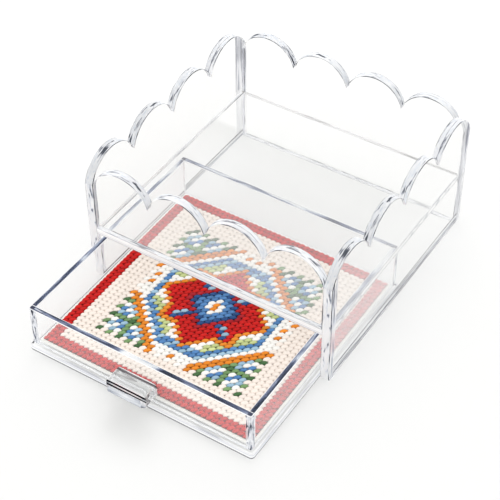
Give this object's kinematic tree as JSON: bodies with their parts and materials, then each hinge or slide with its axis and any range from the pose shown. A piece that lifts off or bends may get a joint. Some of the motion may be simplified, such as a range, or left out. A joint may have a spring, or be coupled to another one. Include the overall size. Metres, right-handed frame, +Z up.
{
  "type": "acrylic tray with drawer",
  "caption": "Clear scalloped acrylic tray on a low casing, with a flat clear drawer that slides out of the front and shows a needlepoint panel.",
  "frame": {"origin": "middle of the footprint with the drawer standing open as stored, on the surface that the object stands on", "axes": "+Z up, +Y to the back of the casing, +X to the right seen from the drawer's side"},
  "size_m": [0.176, 0.2606, 0.094],
  "materials": {
    "casing_acrylic": "clear cast acrylic, polished",
    "drawer_acrylic": "clear cast acrylic, polished",
    "pull_acrylic": "clear cast acrylic block, bevelled and polished",
    "board": "off-white mounting board, matt",
    "canvas": "cream seven-mesh needlepoint canvas",
    "yarn": "wool and cotton needlepoint stitches in cream, red, blue, green and orange"
  },
  "bodies": {
    "casing": {"left_side": "casing_acrylic", "right_side": "casing_acrylic", "back_panel": "casing_acrylic", "front_panel": "casing_acrylic", "tray_floor": "casing_acrylic"},
    "drawer": {"drawer_base": "drawer_acrylic", "drawer_front": "drawer_acrylic", "drawer_back": "drawer_acrylic", "drawer_left_wall": "drawer_acrylic", "drawer_right_wall": "drawer_acrylic", "drawer_pull": "pull_acrylic", "insert_board": "board", "needlepoint_canvas": "canvas", "needlepoint_yarn": "yarn"}
  },
  "joints": [
    {"name": "drawer_slide", "type": "slide", "parent": "casing", "child": "drawer", "axis": [0, -1, 0], "range_m": [-0.0746, 0.08]}
  ]
}
